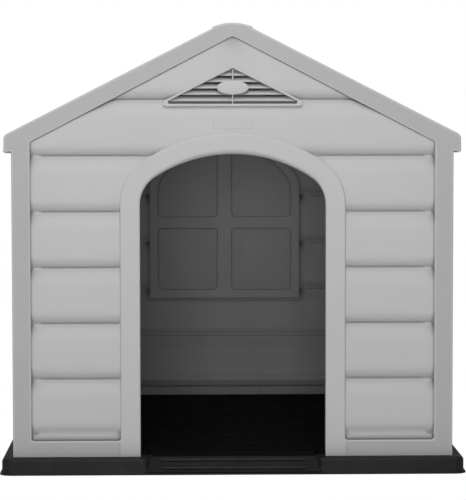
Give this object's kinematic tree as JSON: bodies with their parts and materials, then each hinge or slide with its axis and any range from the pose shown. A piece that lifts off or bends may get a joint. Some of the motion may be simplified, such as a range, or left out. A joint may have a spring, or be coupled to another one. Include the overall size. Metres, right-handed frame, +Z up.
{
  "type": "dog house",
  "caption": "Moulded plastic dog house with plank-pattern walls, an arched open doorway, a pitched roof with louvred gable vents and a wide black floor tray.",
  "frame": {"origin": "on the ground, in the middle of the floor tray's footprint", "axes": "+X to the right seen from the front, +Y from the doorway to the back, +Z up"},
  "size_m": [0.848, 0.878, 0.8165],
  "materials": {
    "grey_plastic": "light grey polypropylene, satin, faintly grained by the mould",
    "black_plastic": "black polypropylene, satin, finely grained",
    "screw_steel": "bright zinc-plated steel"
  },
  "bodies": {
    "root": {"base_tray": "black_plastic", "front_wall": "grey_plastic", "back_wall": "grey_plastic", "left_wall": "grey_plastic", "right_wall": "grey_plastic", "left_roof_panel": "grey_plastic", "right_roof_panel": "grey_plastic", "ridge_cap": "grey_plastic", "front_gable_vent": "grey_plastic", "back_gable_vent": "grey_plastic", "corner_screws": "screw_steel", "base_screws": "screw_steel", "roof_screws": "screw_steel", "ridge_screws": "screw_steel"}
  },
  "joints": []
}
